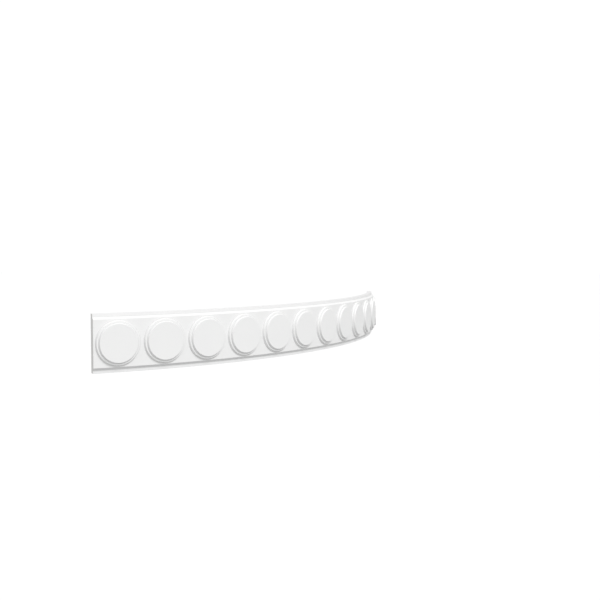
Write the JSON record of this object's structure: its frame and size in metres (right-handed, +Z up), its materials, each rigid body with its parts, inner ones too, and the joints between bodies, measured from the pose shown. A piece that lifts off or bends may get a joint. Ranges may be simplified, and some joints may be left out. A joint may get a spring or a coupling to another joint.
{
  "type": "wall panel moulding",
  "caption": "Curved length of wall panel moulding: a raised field between sloped ledges and thin fillets carries a row of stepped discs, and the hollow back lies on a convex round wall.",
  "frame": {"origin": "middle of the hollow back, half way along and half way up, on the flat facet that lies there", "axes": "+Z up, +X along the moulding to the right as seen from the front, +Y into the wall; the discs face -Y"},
  "size_m": [0.7724, 0.121, 0.08],
  "materials": {
    "white_polyurethane": "smooth matt white factory primer"
  },
  "bodies": {
    "root": {"curved_moulding": "white_polyurethane"}
  },
  "joints": []
}
